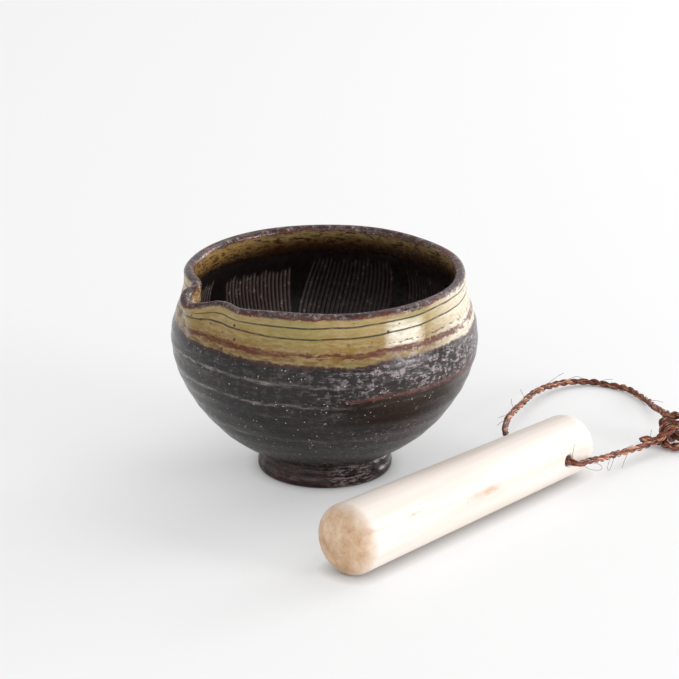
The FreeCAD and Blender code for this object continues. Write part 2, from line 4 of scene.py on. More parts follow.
import bpy
import numpy as np
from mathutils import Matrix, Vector


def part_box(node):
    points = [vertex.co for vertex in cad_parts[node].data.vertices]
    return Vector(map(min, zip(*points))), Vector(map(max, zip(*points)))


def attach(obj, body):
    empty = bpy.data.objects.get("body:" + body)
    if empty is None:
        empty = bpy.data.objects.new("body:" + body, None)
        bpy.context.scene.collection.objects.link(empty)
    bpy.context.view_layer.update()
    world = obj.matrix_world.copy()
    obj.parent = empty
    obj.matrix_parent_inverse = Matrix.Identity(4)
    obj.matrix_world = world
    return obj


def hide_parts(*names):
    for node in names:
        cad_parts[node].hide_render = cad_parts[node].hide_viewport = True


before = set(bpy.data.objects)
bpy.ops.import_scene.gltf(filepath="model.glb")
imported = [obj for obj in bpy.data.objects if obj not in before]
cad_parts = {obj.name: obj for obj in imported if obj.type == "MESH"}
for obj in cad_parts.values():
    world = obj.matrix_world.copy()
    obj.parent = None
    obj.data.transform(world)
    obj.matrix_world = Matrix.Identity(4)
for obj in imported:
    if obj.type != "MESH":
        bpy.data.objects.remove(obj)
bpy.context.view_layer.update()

MM = 0.001

# Camera, as fitted to the bowl's rim and foot and to the pestle's outline
PHOTO_PIXELS = 679
CAMERA_DISTANCE = 1.4
CAMERA_ELEVATION = math.radians(20.44)
FOCAL_PIXELS = 3448
SENSOR_MM = 36.0
LOOK_RIGHT_OF_BOWL = 5.97 * MM
LOOK_HEIGHT = 54.21 * MM
CAMERA_UP = Vector((0, math.sin(CAMERA_ELEVATION), math.cos(CAMERA_ELEVATION)))
TO_CAMERA = Vector((0, -math.cos(CAMERA_ELEVATION), math.sin(CAMERA_ELEVATION)))
CAMERA_REACH = 30

# The floor: its white, the share of it that glows evenly over shadows, how far from a contact that glow
# is dimmed into a painted contact shadow, in metres, and half its width
FLOOR_WHITE = 0.88
EVEN_SHARE = 0.4
CONTACT_REACH = 0.006
FLOOR_HALF = 6.0

# Light: the surrounding's strength, and each soft lamp's place, aim, width in metres and power in watts
DAYLIGHT = 0.7
LAMPS = {
    "window_right": ((1.26, -0.61, 0.27), (0, 0, 0.06), 0.5, 13.0),
    "wall_right": ((1.15, 0.85, 0.32), (0, 0, 0.06), 0.6, 9.0),
    "sky_back_right": ((0.95, 1.05, 1.5), (0, 0, 0.03), 1.5, 8.5),
    "fill_front": ((-0.9, -1.5, 1.6), (0, 0, 0.03), 1.6, 9.0),
}

# The bowl's section in millimetres, with the sizes of its solid
WALL = 4.4
FLOOR_HEIGHT = 7.6
BELLY_RADIUS = 62.0
BELLY_HEIGHT = 56.8
SHOULDER_RADIUS = 31.6
UPPER_RADIUS = 30.2
LIP_RISE = 28.2
LIP_INSET = 5.2
FOOT_RADIUS = 27.5
FOOT_HEIGHT = 8.2
FOOT_RING = 5.5
FOOT_RECESS = 2.6
FOOT_GROOVE_HEIGHT = 4.6
FOOT_GROOVE_DEPTH = 0.5
FOOT_GROOVE_HALF = 0.8
LIP_ROWS = 6
LIP_RADIUS = BELLY_RADIUS - LIP_INSET
LIP_LEVEL = BELLY_HEIGHT + LIP_RISE - WALL / 2

# The spout, pinched out of the lip
SPOUT_BEARING = 208.5
SPOUT_BEYOND = 6.8
SPOUT_RADIUS = 12.6
SPOUT_DROP = 22.0
SPOUT_ROOT_RADIUS = 5.0
SPOUT_ROOT_INSET = 2.0
CHANNEL_START_RADIUS = 2.0
CHANNEL_START_INSET = 7.9
SPOUT_BLEND = 1.2

# How the lip was pulled down at the spout and in front of it, and pushed in on both sides of it, as
# depth, turn from the spout and width in degrees
LIP_DIPS = [(3.6, 0.0, 9.0), (1.7, 21.0, 14.0)]
LIP_DIP_FROM = 76.0
PINCHES = [(1.7, 15.5, 5.0), (1.5, -14.5, 4.0), (1.1, -21.0, 7.0)]

# Unevenness of the thrown wall: finger rings' pitch and depth, the slow wobble's depth, and how far the
# bowl is out of round, as depth, waves round the bowl and turn in radians
RING_PITCH = 6.1
RING_DEPTH = 0.1
WOBBLE_DEPTH = 0.14
OUT_OF_ROUND = [(0.22, 2, 0.7), (0.16, 3, 2.1)]

# Where the glazes and lines lie, as heights on the wall before the lip was pulled down
CUT_LINES = (79.9, 75.6)
LIP_CLAY = 82.9
SECOND_STRIPE = 72.0
RUST_STRIPE = 69.2
BAND_BOTTOM = 65.0
RED_LINE = 51.4
BROWN_PATCH = 44.0
FOOT_CLAY = 8.0
INNER_GLAZE = 72.5

# Throwing lines where the glaze ran thin, as height and strength
THROWING_LINES = ((57.6, 0.75), (48.2, 0.75), (30.4, 0.35), (42.4, 0.15), (21.0, 0.2))

# Patches of comb strokes on the inner wall: first and last bearing in degrees, the strokes' lean at
# those two bearings in degrees of bearing for each millimetre down, and the height where they begin
COMB_PATCHES = [
    (-20.0, 10.0, -0.05, 0.05, 68.5),
    (20.0, 52.0, 0.04, 0.08, 70.0),
    (59.0, 95.0, 0.12, 0.3, 71.0),
    (104.5, 137.5, 0.0, -0.12, 66.5),
    (146.0, 184.0, -0.05, 0.06, 69.0),
    (192.0, 228.0, -0.04, 0.05, 66.0),
    (236.0, 274.0, 0.06, -0.04, 69.5),
    (283.0, 330.0, 0.04, 0.1, 68.0),
]
COMB_PITCH = 1.8
COLUMNS_PER_STROKE = 4
PLAIN_COLUMN = 0.6

# The strokes' depth, their share that stands above the wall, the radius inside which they get shallower,
# and heights: of their lowest end, full depth and fade at the top, and between which they lean
COMB_DEPTH = 0.75
COMB_STANDING = 0.65
COMB_FULL_RADIUS = 45
COMB_BOTTOM = 11.0
COMB_FULL_HEIGHT = 20
COMB_FADE = 2.2
COMB_ROWS_TOP = 74
LEAN_TOP = 70.0
LEAN_BOTTOM = 45.0

# The pestle and its cross hole, whose mouths lie at this distance on both sides of its middle
PESTLE_BEARING = 48.6
PESTLE_LENGTH = 150.0
CORD_HOLE_INSET = 22.0
HOLE_FROM_BOWL = (88.983, -20.191)
MOUTH_ASIDE = 12.58
CORD_HEIGHT = 12.08

# The wood's end grain, which fades along the head, in millimetres from its end
END_GRAIN_FROM = 3.0
END_GRAIN_TO = 9.5

# Brown flecks in the pestle's wood: place from the cross hole, and size, both in metres
FLECKS = [
    ((-0.053, -0.013, 0.0163), 0.0046),
    ((-0.0964, -0.0123, 0.0206), 0.0031),
    ((-0.1215, -0.0120, 0.0210), 0.0037),
]
FLECK_STRETCH = 0.17
FLECK_RAGGED = 0.005

# The cord, in millimetres from the cross hole: ahead along the pestle, aside to its left, and height
KNOT_FIBRES = {"Strand offset": 0.85 * MM, "Fibre offset": 0.62 * MM, "Fibre radius": 0.3 * MM}
STRAY_RADIUS = 0.08
LINE_ORDER = 3
LINE_STEPS = 16
NEAR_STRAIGHT = 3.4
FAR_STRAIGHT = 5.0
NEAR_ROUTE = [
    (2.3, -18.0, 12.0),
    (9.5, -17.3, 11.0),
    (22.0, -15.5, 8.6),
    (34.5, -14.0, 6.2),
    (45.9, -14.3, 5.0),
    (55.8, -15.6, 5.8),
]
FAR_ROUTE = [
    (9.9, 29.5, 11.2),
    (29.2, 42.1, 9.2),
    (53.6, 52.7, 6.4),
    (78.1, 60.7, 3.6),
    (98.2, 56.3, 1.7),
    (103.9, 37.7, 1.6),
    (96.4, 19.7, 2.4),
    (82.7, 4.3, 6.2),
    (70.1, -8.8, 10.8),
]

# The knot's two cords, in millimetres from its middle: right, back and up
KNOT_MIDDLE = (65.9, -16.8, 7.0)
KNOT_FROM_NEAR = [
    (-7.6, -6.8, -1.2),
    (-5.0, -6.6, 1.0),
    (-1.5, -5.8, 3.2),
    (3.0, -4.4, 4.8),
    (8.0, -1.5, 5.0),
    (10.5, 2.0, 2.0),
    (7.5, 4.5, -2.5),
    (1.5, 3.5, -4.8),
    (-3.8, -0.5, -3.0),
    (-5.4, -2.6, 1.2),
    (-3.4, -1.0, 4.4),
    (1.5, 0.6, 3.0),
    (5.2, -2.0, 0.0),
    (4.4, -5.6, -3.4),
    (-0.4, -6.4, -4.9),
    (-4.2, -3.6, -4.4),
    (-6.0, 0.6, -4.4),
    (-9.4, 0.8, -4.4),
    (-13.6, -0.6, -4.2),
]
KNOT_FROM_FAR = [
    (-3.2, 8.4, 3.8),
    (-2.6, 6.0, 5.0),
    (-0.6, 3.0, 5.4),
    (3.4, 1.8, 5.6),
    (8.0, 3.0, 5.2),
    (10.0, 3.8, 1.0),
    (6.4, 2.0, -2.6),
    (0.4, 0.6, -1.6),
    (-4.6, 1.4, 1.0),
    (-5.4, 3.2, 3.4),
    (-2.0, 3.8, 0.6),
    (3.0, 3.0, 0.4),
    (6.6, -0.6, 1.6),
    (8.4, -3.6, -1.2),
    (9.0, -2.0, -4.6),
    (13.0, 1.0, -4.8),
    (17.6, 2.6, -5.0),
]

# Stray fibres: where each leaves its cord, from 0 at the cross hole to 1 at the knot, and its points in
# millimetres from there, right and up as the camera sees them
NEAR_STRAYS = [
    (0.02, [(0.2, 0.5), (0.2, 3.0), (0.9, 5.6), (1.1, 7.6)]),
    (0.09, [(0.0, 0.0), (3.0, -2.2), (7.6, -2.6), (8.6, -1.2), (6.8, 0.4), (3.8, 0.6)]),
    (0.5, [(0.4, -0.6), (-0.4, -4.0), (-1.6, -6.6), (-2.4, -5.6), (-1.6, -2.4), (-0.6, -0.4)]),
    (0.72, [(0.0, 0.0), (-2.2, -3.2), (-3.4, -7.0)]),
    (0.6, [(0.0, 0.4), (3.4, 3.0), (5.4, 3.2)]),
    (0.3, [(0.0, 0.2), (2.6, 2.2), (5.6, 2.4)]),
    (0.94, [(0.0, 0.0), (-0.6, 2.8), (0.2, 5.2)]),
]
FAR_STRAYS = [
    (0.55, [(0.0, 0.6), (2.6, 3.6), (7.6, 6.2)]),
    (0.77, [(0.0, -0.4), (1.6, -2.6), (4.0, -5.4)]),
    (0.355, [(-0.4, 1.0), (-1.4, 3.0), (-1.2, 4.8)]),
    (0.29, [(0.0, 0.2), (-2.6, -1.0), (-4.4, -2.6)]),
    (0.31, [(0.0, 0.2), (-3.0, 0.4), (-4.6, -0.8)]),
    (0.62, [(-1.0, 1.0), (1.6, 2.4), (4.6, 2.2), (6.2, 1.0)]),
    (0.44, [(0.0, 0.0), (-1.8, 2.2), (-2.4, 4.2)]),
    (0.68, [(0.0, 0.4), (3.0, 1.6), (6.0, 1.4)]),
    (0.84, [(0.0, 0.2), (3.4, 0.8), (6.0, -0.4)]),
]

low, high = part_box("mortar_bowl")
BOWL_AXIS = Vector((high.x - (high.y - low.y) / 2, (low.y + high.y) / 2, 0.0))
HOLE = BOWL_AXIS + Vector((*HOLE_FROM_BOWL, 0.0)) * MM
AHEAD = Vector((math.cos(math.radians(PESTLE_BEARING)), math.sin(math.radians(PESTLE_BEARING)), 0.0))
ASIDE = Vector((-AHEAD.y, AHEAD.x, 0.0))


def from_hole(point):
    """A point given from the cross hole, in the frame's metres."""
    ahead, aside, height = point
    return HOLE + (AHEAD * ahead + ASIDE * aside + Vector((0, 0, height))) * MM


def srgb(code):
    """An sRGB hex colour as linear values with full alpha."""
    parts = [int(code[i : i + 2], 16) / 255 for i in (0, 2, 4)]
    return [p / 12.92 if p <= 0.04045 else ((p + 0.055) / 1.055) ** 2.4 for p in parts] + [1.0]


def put(name, data):
    """A new object in the scene that holds data."""
    thing = bpy.data.objects.new(name, data)
    bpy.context.scene.collection.objects.link(thing)
    return thing


def add(tree, kind, links=None, **settings):
    """Add a node with its settings, and links or values by socket. Returns its first output."""
    node = tree.nodes.new(kind)
    for name, value in settings.items():
        setattr(node, name, value)
    for key, value in (links or {}).items():
        by_name = (s for s in node.inputs if s.enabled and s.name == key)
        socket = node.inputs[key] if isinstance(key, int) else next(by_name)
        if isinstance(value, bpy.types.NodeSocket):
            tree.links.new(value, socket)
        else:
            socket.default_value = value
    return next((s for s in node.outputs if s.enabled), None)


def ramp(tree, value, *stops):
    """Colours by value, blended between stops, each a value and a hex colour."""
    tint = add(tree, "ShaderNodeValToRGB", {"Fac": value})
    elements = tint.node.color_ramp.elements
    elements.remove(elements[1])
    elements[0].position, elements[0].color = stops[0][0], srgb(stops[0][1])
    for place, code in stops[1:]:
        elements.new(place).color = srgb(code)
    return tint


def finish_material(tree, shader, colour, rough, bump, ior):
    """Link a material's patterns to its shader."""
    tree.links.new(colour, shader.inputs["Base Color"])
    tree.links.new(rough, shader.inputs["Roughness"])
    tree.links.new(bump, shader.inputs["Normal"])
    shader.inputs["IOR"].default_value = ior


def new_material(name):
    """An empty material with a Principled shader: the material, its tree and the shader node."""
    material = bpy.data.materials.new(name)
    material.use_nodes = True
    tree = material.node_tree
    return material, tree, tree.nodes["Principled BSDF"]


def arc(centre, radius, start, end, count):
    """Points of an arc in the bowl's section, with angles in degrees from level outwards."""
    angles = np.radians(np.linspace(start, end, count))
    return [(centre[0] + radius * math.cos(a), centre[1] + radius * math.sin(a)) for a in angles]


def bowl_section():
    """The rows of the bowl's section from under its foot up to the lip's crest, and down inside."""
    shoulder = (BELLY_RADIUS - SHOULDER_RADIUS, BELLY_HEIGHT)
    upper = (BELLY_RADIUS - UPPER_RADIUS, BELLY_HEIGHT)
    lowest = FLOOR_HEIGHT - WALL + SHOULDER_RADIUS
    base_height = (shoulder[0] ** 2 + BELLY_HEIGHT**2 - lowest**2) / (2 * (BELLY_HEIGHT - lowest))
    base = (0.0, base_height)
    base_radius = base_height - FLOOR_HEIGHT + WALL
    run = LIP_RADIUS - upper[0]
    rise = LIP_LEVEL - BELLY_HEIGHT
    neck_radius = (UPPER_RADIUS**2 - run**2 - rise**2) / (2 * (run - UPPER_RADIUS))
    neck = (LIP_RADIUS + neck_radius, LIP_LEVEL)
    bend = math.degrees(math.atan2(BELLY_HEIGHT - base_height, shoulder[0]))
    neck_turn = math.degrees(math.atan2(rise, neck[0] - upper[0]))
    foot_top = math.degrees(math.asin((FOOT_HEIGHT - base_height) / base_radius))
    lip = (LIP_RADIUS - WALL / 2, LIP_LEVEL)
    ring = FOOT_RADIUS - FOOT_RING

    under = [(r, FOOT_RECESS) for r in (5.0, 11.0, 17.0, ring - 1.0)]
    under += [(ring - 0.3, FOOT_RECESS - 0.3), (ring, FOOT_RECESS - 1.0)]
    under += [(ring + 0.3, 0.4), (ring + 1.2, 0.0)]
    foot = [(1.4, 0.0), (0.5, 0.25), (0.1, 1.0), (0.0, 2.2), (0.1, 3.0), (0.3, 3.8), (0.6, 4.6), (0.7, 5.4)]
    foot += [(0.8, 6.2), (1.1, 7.2), (1.6, 7.9), (2.0, FOOT_HEIGHT + 0.3)]
    under += [(FOOT_RADIUS - inset, height) for inset, height in foot]
    outside = under + arc(base, base_radius, foot_top, bend, 34)[1:-1]
    outside += arc(shoulder, SHOULDER_RADIUS, bend, 0, 12)[:-1]
    outside += arc(upper, UPPER_RADIUS, 0, neck_turn, 12)[:-1]
    outside += arc(neck, neck_radius, 180 + neck_turn, 180, 22)[:-1]
    outside += arc(lip, WALL / 2, 0, 90, LIP_ROWS)
    inside = arc(lip, WALL / 2, 90, 180, LIP_ROWS)[1:-1]
    inside += arc(neck, neck_radius + WALL, 180, 180 + neck_turn, 12)
    inside += arc(upper, UPPER_RADIUS - WALL, neck_turn, 0, 12)[1:]
    inside += arc(shoulder, SHOULDER_RADIUS - WALL, 0, bend, 12)[1:]
    inside += arc(base, base_radius - WALL, bend, -78, 36)[1:]
    inside += arc(base, base_radius - WALL, -80, -88.5, 6)
    return outside, inside


def comb_columns():
    """Bearings of the fine columns, with each one's height in its stroke, its lean and its stroke's top."""
    bearings, waves, leans, tops = [], [], [], []
    following = COMB_PATCHES[1:] + [(COMB_PATCHES[0][0] + 360, *COMB_PATCHES[0][1:])]
    for patch, next_patch in zip(COMB_PATCHES, following):
        first, last, lean, last_lean, top = patch
        after, _, after_lean, _, _ = next_patch
        count = round((last - first) / COMB_PITCH) * COLUMNS_PER_STROKE
        shares = np.arange(count) / count
        bearings += list(first + (last - first) * shares)
        waves += list(0.5 + 0.5 * np.cos(2 * np.pi * np.arange(count) / COLUMNS_PER_STROKE + math.pi))
        leans += list(lean + (last_lean - lean) * shares)
        tops += [top] * count
        count = max(4, round((after - last) / PLAIN_COLUMN))
        if (len(bearings) + count) % 2 and after > 300:
            count += 1
        shares = np.arange(count) / count
        bearings += list(last + (after - last) * shares)
        waves += [0.0] * count
        leans += list(last_lean + (after_lean - last_lean) * shares)
        tops += [top] * count
    return [np.array(values) for values in (bearings, waves, leans, tops)]


def ripple(bearing, height, seed, count=9, turns=7, rise=0.5):
    """A smooth uneven surface round the bowl, about -1 to 1, that meets itself all round."""
    random = np.random.default_rng(seed)
    total = np.zeros(np.broadcast(bearing, height).shape)
    for _ in range(count):
        around = random.integers(0, turns + 1)
        climb = random.uniform(-rise, rise)
        total += np.sin(around * np.radians(bearing) + climb * height + random.uniform(0, 7))
    return total / math.sqrt(count) / 1.5


def smooth_step(value, low, high):
    """0 below low and 1 above high, with a smooth rise between."""
    share = np.clip((value - low) / (high - low), 0, 1)
    return share * share * (3 - 2 * share)


def spout_shape(radius, height, bearing, outward):
    """Move the wall out into the spout. outward is 1 on the outer face and 0 on the inner one."""
    degrees = (bearing - SPOUT_BEARING + 180) % 360 - 180
    turn = np.radians(degrees)
    middle = LIP_RADIUS + SPOUT_BEYOND - SPOUT_RADIUS
    root = LIP_LEVEL - SPOUT_DROP
    reached = []
    for start, start_middle, start_radius, end_radius in (
        (root, BELLY_RADIUS - SPOUT_ROOT_INSET - SPOUT_ROOT_RADIUS, SPOUT_ROOT_RADIUS, SPOUT_RADIUS),
        (root + WALL, BELLY_RADIUS - CHANNEL_START_INSET, CHANNEL_START_RADIUS, SPOUT_RADIUS - WALL),
    ):
        share = np.clip((height - start) / (LIP_LEVEL - start), 0, 1)
        centre = start_middle + (middle - start_middle) * share
        size = start_radius + (end_radius - start_radius) * share
        across = np.clip(size**2 - (centre * np.sin(turn)) ** 2, 0, None)
        edge = centre * np.cos(turn) + np.sqrt(across)
        edge = np.where((across > 0) & (height > start) & (np.abs(turn) < 1), edge, 0)
        reached.append(edge)
    outer, inner = reached
    wanted = inner + (outer - inner) * outward
    gap = wanted - radius
    near = np.where(gap > -SPOUT_BLEND, (gap + SPOUT_BLEND) ** 2 / (4 * SPOUT_BLEND), 0)
    push = np.where(gap > SPOUT_BLEND, gap, near)
    rising = smooth_step(height, root, LIP_LEVEL)
    pinch, dip = [
        sum(depth * np.exp(-(((degrees - at) / width) ** 2)) for depth, at, width in bumps)
        for bumps in (PINCHES, LIP_DIPS)
    ]
    pulled = smooth_step(height, LIP_DIP_FROM, LIP_LEVEL)
    return radius + push - pinch * rising, height - dip * pulled


def throwing_marks(bearing, height):
    """The thrown wall's unevenness on the outside: slow wobble and finger rings."""
    waver = 0.5 * np.sin(np.radians(bearing)) + 0.4 * ripple(bearing, height, seed=5)
    rings = np.sin(2 * np.pi * height / RING_PITCH + waver)
    rings = rings * smooth_step(height, 12, 20) * (1 - smooth_step(height, 76, 82))
    return RING_DEPTH * rings + WOBBLE_DEPTH * ripple(bearing, height, seed=11, turns=9)


def round_wobble(bearing, height):
    """How far the bowl is out of round, which grows towards the lip."""
    angle = np.radians(bearing)
    off = sum(depth * np.cos(waves * angle + turn) for depth, waves, turn in OUT_OF_ROUND)
    return off * np.clip(height / 60, 0, 1)


def join_rows(rows):
    """Faces between rows of vertices round the bowl. A row may have twice its neighbour's columns."""
    faces = []
    for lower, upper in zip(rows, rows[1:]):
        count, next_count = len(lower), len(upper)
        if count == 1:
            faces += [(lower[0], upper[(j + 1) % next_count], upper[j]) for j in range(next_count)]
        elif next_count == 1:
            faces += [(lower[j], lower[(j + 1) % count], upper[0]) for j in range(count)]
        elif count == next_count:
            ahead = [(j + 1) % count for j in range(count)]
            faces += [(lower[j], lower[k], upper[k], upper[j]) for j, k in enumerate(ahead)]
        elif next_count > count:
            for j in range(count):
                a, b = lower[j], lower[(j + 1) % count]
                c, d, e = upper[2 * j], upper[2 * j + 1], upper[(2 * j + 2) % next_count]
                faces += [(a, d, c), (a, b, d), (b, e, d)]
        else:
            for j in range(next_count):
                a, b = upper[j], upper[(j + 1) % next_count]
                c, d, e = lower[2 * j], lower[2 * j + 1], lower[(2 * j + 2) % count]
                faces += [(c, d, a), (d, b, a), (d, e, b)]
    return faces


def outside_marks(radius, height, bearing):
    """How far throwing and trimming moved the outer face: marks on the wall, and a groove in the foot."""
    if height > FOOT_HEIGHT:
        return throwing_marks(bearing, height)
    foot = 0.3 * ripple(bearing, height * 2, seed=21, turns=23) * smooth_step(height, 1.2, 3)
    foot = foot - FOOT_GROOVE_DEPTH * math.exp(-(((height - FOOT_GROOVE_HEIGHT) / FOOT_GROOVE_HALF) ** 2))
    return foot * (radius > FOOT_RADIUS - 3)


def comb_ridges(radius, height, bearing, waves, tops):
    """How far the comb moved the inner face, and where it did, from 0 to 1."""
    uneven = 1.5 * ripple(bearing, 0 * bearing, seed=33, turns=170)
    mask = smooth_step(height, COMB_BOTTOM, COMB_FULL_HEIGHT)
    mask = mask * (1 - smooth_step(height, tops - COMB_FADE + uneven, tops + uneven))
    mask = mask * (waves + np.roll(waves, 1) + np.roll(waves, -1) > 0)
    depth = COMB_DEPTH * min(1.0, radius / COMB_FULL_RADIUS)
    rough = 1 + 0.25 * ripple(bearing, height * 2, seed=8, turns=90)
    return mask * depth * (COMB_STANDING - waves) * rough, mask


def make_bowl(material):
    """The thrown bowl: its section turned round, with the spout, throwing marks and comb ridges."""
    outside, inside = bowl_section()
    fine, wave, lean, top = comb_columns()
    inner_lip = LIP_ROWS - 2
    middle = LIP_RADIUS - WALL / 2
    section = [(r, z, 1.0) for r, z in outside[:-LIP_ROWS]]
    section += [(r, z, (r - middle) / WALL + 0.5) for r, z in outside[-LIP_ROWS:] + inside[:inner_lip]]
    section += [(r, z, 0.0) for r, z in inside[inner_lip:]]
    first_inside = len(outside) + inner_lip
    points, rows = [], []
    values = {name: [] for name in ("inside", "combed", "ridge", "level")}

    def add_row(coordinates, level, inside_share, comb, ridge):
        """Add a ring of vertices, with what the material reads at each."""
        rows.append(list(range(len(points), len(points) + len(coordinates))))
        points.extend(coordinates)
        values["level"].extend([level] * len(coordinates))
        values["inside"].extend([inside_share] * len(coordinates))
        values["combed"].extend(comb)
        values["ridge"].extend(ridge)

    add_row([np.array([0.0, 0.0, FOOT_RECESS])], FOOT_RECESS, 0.0, [0.0], [0.0])
    for index, (radius, height, outward) in enumerate(section):
        is_inside = index >= first_inside
        combed = is_inside and COMB_BOTTOM - 1 < height < COMB_ROWS_TOP
        every = 1 if combed else 2
        bearing, waves, leans, tops = fine[::every], wave[::every], lean[::every], top[::every]
        if is_inside:
            bearing_leaned = bearing + leans * (LEAN_TOP - np.clip(height, LEAN_BOTTOM, LEAN_TOP))
        else:
            bearing_leaned = bearing
        moved = radius + round_wobble(bearing_leaned, height)
        mask = np.zeros(len(bearing))
        if outward > 0:
            moved = moved + outward * outside_marks(radius, height, bearing_leaned)
        if combed:
            push, mask = comb_ridges(radius, height, bearing, waves, tops)
            moved = moved + push
        elif is_inside:
            plain = 0.12 * ripple(bearing_leaned, height, seed=14, turns=9)
            moved = moved + plain * min(1.0, radius / 20)
        crest = 0.22 * ripple(bearing_leaned, 0, seed=27, turns=8) * smooth_step(height, 60, LIP_LEVEL)
        moved, raised = spout_shape(moved, height + crest, bearing_leaned, outward)
        angle = np.radians(bearing_leaned)
        spots = np.stack([moved * np.cos(angle), moved * np.sin(angle), raised + 0 * angle], axis=1)
        add_row(list(spots), height, 1 - outward, list(mask), list(waves * (mask > 0)))
    add_row([np.array([0.0, 0.0, FLOOR_HEIGHT])], FLOOR_HEIGHT, 1.0, [0.0], [0.0])

    mesh = bpy.data.meshes.new("stoneware_bowl")
    placed = np.array(points) * MM + np.array(BOWL_AXIS)
    mesh.from_pydata(placed.tolist(), [], join_rows(rows))
    for name, of_points in values.items():
        attribute = mesh.attributes.new(name, "FLOAT", "POINT")
        attribute.data.foreach_set("value", np.array(of_points, np.float32))
    mesh.shade_smooth()
    mesh.materials.append(material)
    return put("stoneware_bowl", mesh)


def glazed_stoneware():
    """Stoneware: iron glaze broken by mottling, an ash glaze band, and bare clay inside and at the foot.

    Glaze is glass: IOR 1.45, nearly smooth, with small pits. The bare clay is duller.
    """
    material, tree, shader = new_material("iron_and_ash_glaze_on_stoneware")
    spot = add(tree, "ShaderNodeTexCoord").node.outputs["Object"]
    spot = add(tree, "ShaderNodeMapping", {"Vector": spot, "Location": -BOWL_AXIS})
    parts = add(tree, "ShaderNodeSeparateXYZ", {"Vector": spot}).node
    right, back = parts.outputs["X"], parts.outputs["Y"]

    def attribute(name):
        """A value that the mesh's points carry."""
        return add(tree, "ShaderNodeAttribute", attribute_name=name).node.outputs["Fac"]

    def math_of(operation, *values):
        """The result of one sum on the values."""
        return add(tree, "ShaderNodeMath", dict(enumerate(values)), operation=operation)

    def between(value, start, end, low=0.0, high=1.0):
        """low where value is at start, high where it is at end, and a blend between."""
        links = {"Value": value, "From Min": start, "From Max": end, "To Min": low, "To Max": high}
        return add(tree, "ShaderNodeMapRange", links)

    def blend(share, under, over):
        """The colour under with a share of the colour over it."""
        return add(tree, "ShaderNodeMix", {"Factor": share, "A": under, "B": over}, data_type="RGBA")

    def noise(vector, scale, detail, roughness=0.5):
        """Cloudy noise, about 0.3 to 0.7."""
        links = {"Vector": vector, "Scale": scale, "Detail": detail, "Roughness": roughness}
        return add(tree, "ShaderNodeTexNoise", links)

    def near_level(value, level, half, edge, strength=1.0):
        """strength where value is within half of level, with a soft edge beyond, else 0."""
        off = math_of("ABSOLUTE", math_of("SUBTRACT", value, level))
        return between(off, half + edge, half, 0.0, strength)

    level, inside, combed, ridge = (attribute(name) for name in ("level", "inside", "combed", "ridge"))

    # Patterns by the size of their patches: slow drifts, runs along the throwing, mottling and grit
    drift = noise(spot, 26.0, 3.0)
    flat = add(tree, "ShaderNodeMapping", {"Vector": spot, "Scale": (1.0, 1.0, 4.0)})
    runs = noise(flat, 75.0, 6.0, 0.65)
    streaks = noise(flat, 230.0, 5.0, 0.7)
    mottle = noise(spot, 420.0, 6.0, 0.72)
    grit = noise(spot, 1500.0, 3.0, 0.7)

    # Levels in millimetres that waver as a glaze line does
    wavy = math_of("ADD", level, between(drift, 0.3, 0.7, -1.1, 1.1))
    ragged = math_of("ADD", wavy, between(mottle, 0.3, 0.7, -0.7, 0.7))

    # Iron glaze: near black, browner at the right and in patches, olive low down
    iron = ramp(
        tree, runs,
        (0.30, "070504"), (0.46, "0f0b09"), (0.58, "1d1714"), (0.72, "352d29"),
    )
    rusty = math_of("MULTIPLY", between(right, 0.012, 0.034), between(drift, 0.38, 0.56))
    iron = blend(rusty, iron, srgb("26130b"))
    iron = blend(math_of("MULTIPLY", between(wavy, 34.0, 12.0), 0.6), iron, srgb("1b1a0e"))

    # Purple-grey mottling, strongest on the shoulder at the right
    blotch = between(math_of("ADD", streaks, mottle), 1.0, 1.14, 0.0, 0.9)
    shoulder = between(wavy, 38.0, 60.0, 0.12, 0.55)
    shoulder = math_of("MULTIPLY", shoulder, between(right, -0.01, 0.03, 0.3, 1.8))
    patch = math_of("MULTIPLY", near_level(wavy, BROWN_PATCH, 5.0, 3.0), between(right, 0.004, 0.016))
    blotch = math_of("MULTIPLY", math_of("MULTIPLY", blotch, shoulder), math_of("SUBTRACT", 1.0, patch))
    iron = blend(blotch, iron, srgb("94878a"))
    iron = blend(math_of("MULTIPLY", patch, between(streaks, 0.45, 0.55, 0.4, 1.0)), iron, srgb("1c0f08"))
    red = math_of("MULTIPLY", near_level(wavy, RED_LINE, 0.4, 0.9), between(right, 0.004, 0.016))
    iron = blend(math_of("MULTIPLY", red, between(streaks, 0.4, 0.52)), iron, srgb("56302a"))

    # Throwing lines that the glaze ran thin on
    thin = 0.0
    for line, strength in THROWING_LINES:
        thin = math_of("MAXIMUM", near_level(wavy, line, 0.2, 0.8, strength), thin)
    fading = math_of("MULTIPLY", between(streaks, 0.38, 0.56), between(right, 0.02, -0.02, 0.15, 1.0))
    fading = math_of("MULTIPLY", fading, between(runs, 0.38, 0.54, 0.2, 1.0))
    iron = blend(math_of("MULTIPLY", thin, fading), iron, srgb("8f8680"))

    # Pale specks of feldspar, about 0.3 mm across
    cells = add(tree, "ShaderNodeTexVoronoi", {"Vector": spot, "Scale": 520.0})
    speck = math_of("MULTIPLY", between(cells, 0.15, 0.09), between(runs, 0.45, 0.52, 0.0, 0.85))
    iron = blend(speck, iron, srgb("d8d2c8"))

